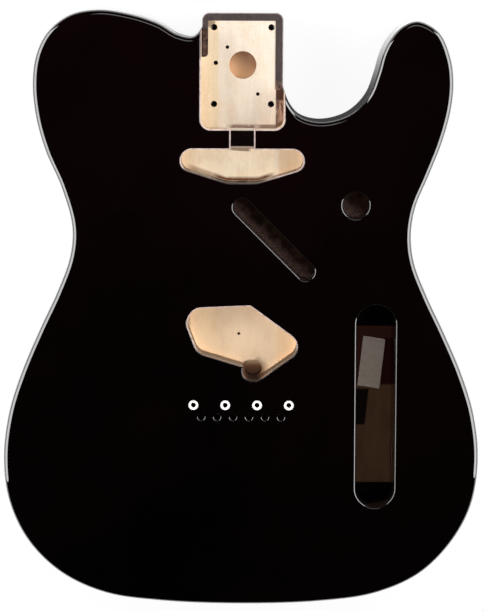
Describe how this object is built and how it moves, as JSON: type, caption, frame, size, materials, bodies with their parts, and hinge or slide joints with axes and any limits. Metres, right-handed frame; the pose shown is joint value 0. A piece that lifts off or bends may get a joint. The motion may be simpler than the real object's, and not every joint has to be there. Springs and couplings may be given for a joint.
{
  "type": "electric guitar body",
  "caption": "Solid single-cutaway electric guitar body in black gloss, routed for a bolt-on neck, pickups, controls and through-body strings, bare of hardware.",
  "frame": {"origin": "under the middle of the body, on the surface that its back lies on", "axes": "+Z is the front face, +Y the neck end, +X the treble side with the cutaway"},
  "size_m": [0.3224, 0.4036, 0.0444],
  "materials": {
    "alder": "bare, machined, fine sanded",
    "undercoat": "matt white filler coat",
    "gloss_black": "polished black gloss",
    "overspray": "thin dull black overspray",
    "label_paper": "matt self-adhesive paper"
  },
  "bodies": {
    "root": {"bass_outer_board": "alder", "bass_inner_board": "alder", "centre_board": "alder", "treble_inner_board": "alder", "treble_outer_board": "alder", "front_undercoat": "undercoat", "back_undercoat": "undercoat", "front_gloss_coat": "gloss_black", "back_gloss_coat": "gloss_black", "channel_paint": "overspray", "wire_slot_paint": "overspray", "round_hole_paint": "overspray", "control_cavity_paint": "overspray", "pocket_ledge_paint": "overspray", "cavity_label": "label_paper"}
  },
  "joints": []
}
